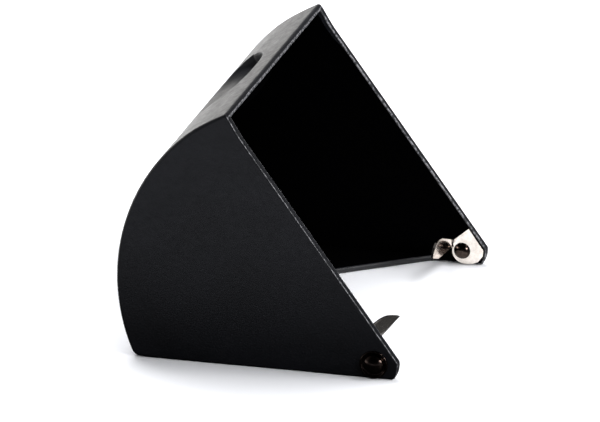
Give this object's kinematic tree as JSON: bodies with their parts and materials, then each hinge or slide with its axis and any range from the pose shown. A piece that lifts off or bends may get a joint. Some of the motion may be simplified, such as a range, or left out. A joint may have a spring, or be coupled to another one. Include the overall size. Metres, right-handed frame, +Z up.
{
  "type": "hinged leather-covered hood",
  "caption": "Leather-covered curved hood with an open mouth, a thumb recess and two spring clips that turn on rivets at its ears.",
  "frame": {"origin": "centre of the hood's bounding box on the plane of its underside", "axes": "+X across the hood from left cheek to right cheek, the mouth faces -Y, +Z up from the underside"},
  "size_m": [0.1266, 0.098, 0.089],
  "materials": {
    "leather_black": "fine grain, semi-matt",
    "board": "pressed board",
    "velvet_black": "short pile",
    "dark_bronze": "darkened, glossy",
    "nickel": "polished nickel plate"
  },
  "bodies": {
    "hood": {"cover_left": "leather_black", "cover_right": "leather_black", "cover_back": "leather_black", "cover_floor": "leather_black", "board_left": "board", "board_right": "board", "board_back": "board", "board_floor": "board", "lining_left": "velvet_black", "lining_right": "velvet_black", "lining_back": "velvet_black", "lining_floor": "velvet_black", "edge_left": "leather_black", "edge_right": "leather_black", "edge_top": "leather_black", "edge_floor": "leather_black", "thumb_cup": "board", "stud_left": "dark_bronze", "stud_right": "dark_bronze", "washer_left": "dark_bronze", "washer_right": "dark_bronze", "rivet_cap_left": "dark_bronze", "rivet_cap_right": "dark_bronze"},
    "left_clip": {"clip_left": "nickel"},
    "right_clip": {"clip_right": "nickel"}
  },
  "joints": [
    {"name": "left_clip_swing", "type": "hinge", "parent": "hood", "child": "left_clip", "pos_m": [-0.0575, -0.04063, 0.005], "axis": [1, 0, 0], "continuous": true},
    {"name": "right_clip_swing", "type": "hinge", "parent": "hood", "child": "right_clip", "pos_m": [0.0575, -0.04063, 0.005], "axis": [1, 0, 0], "continuous": true}
  ]
}
